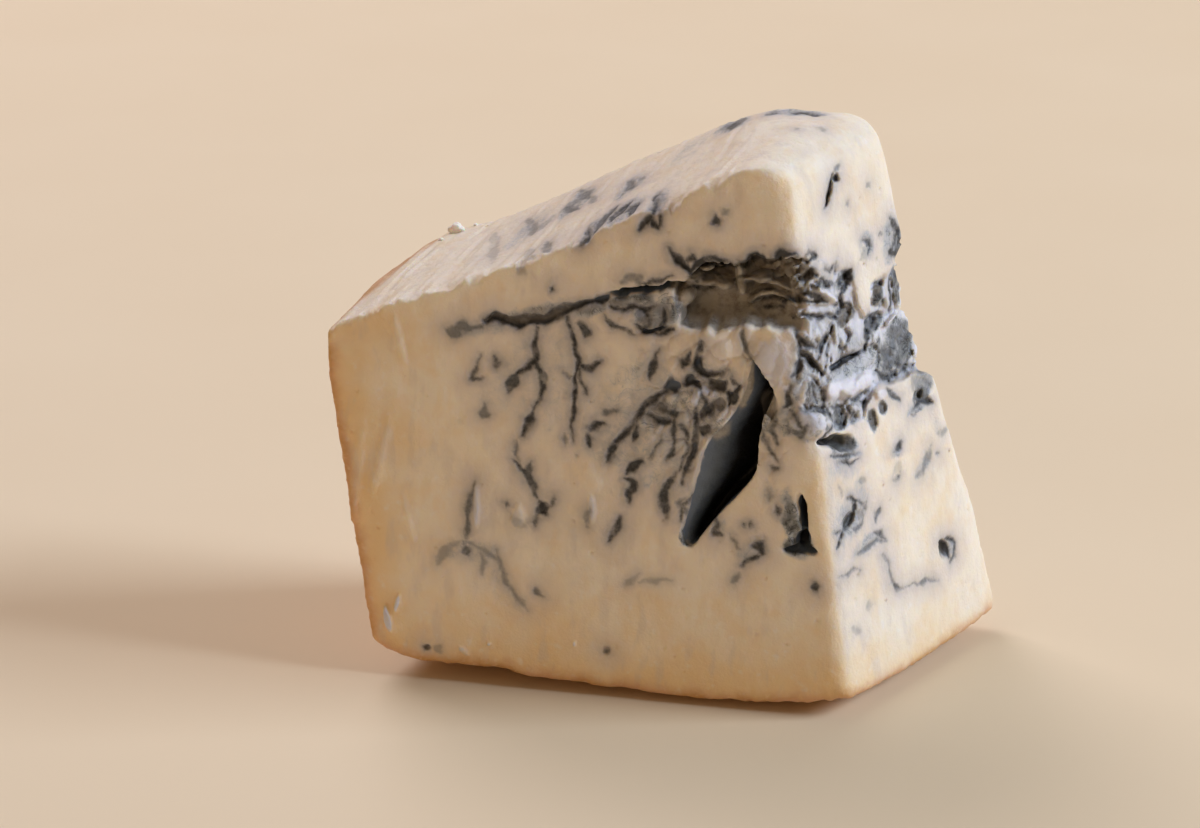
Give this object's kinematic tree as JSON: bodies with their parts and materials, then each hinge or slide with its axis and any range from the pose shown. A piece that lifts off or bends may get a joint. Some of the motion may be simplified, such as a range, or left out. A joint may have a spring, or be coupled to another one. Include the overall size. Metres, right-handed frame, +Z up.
{
  "type": "blue cheese wedge",
  "caption": "Wedge of blue-veined cheese standing on its rind, with a sloping knife cut on top, an open crack and a piercing slot; picked up alone as food.",
  "frame": {"origin": "middle of the bottom of the bounding box, on the plane the wedge rests on", "axes": "+X along the long front cut from the flat rind side to the broken cut side, +Y from the front cut to the back cut, +Z up"},
  "size_m": [0.0898, 0.0366, 0.0785],
  "materials": {
    "cheese": "moist, slightly translucent cream paste with blue-grey mould veins and a thin ochre rind"
  },
  "bodies": {
    "root": {"cheese_wedge": "cheese"}
  },
  "joints": []
}
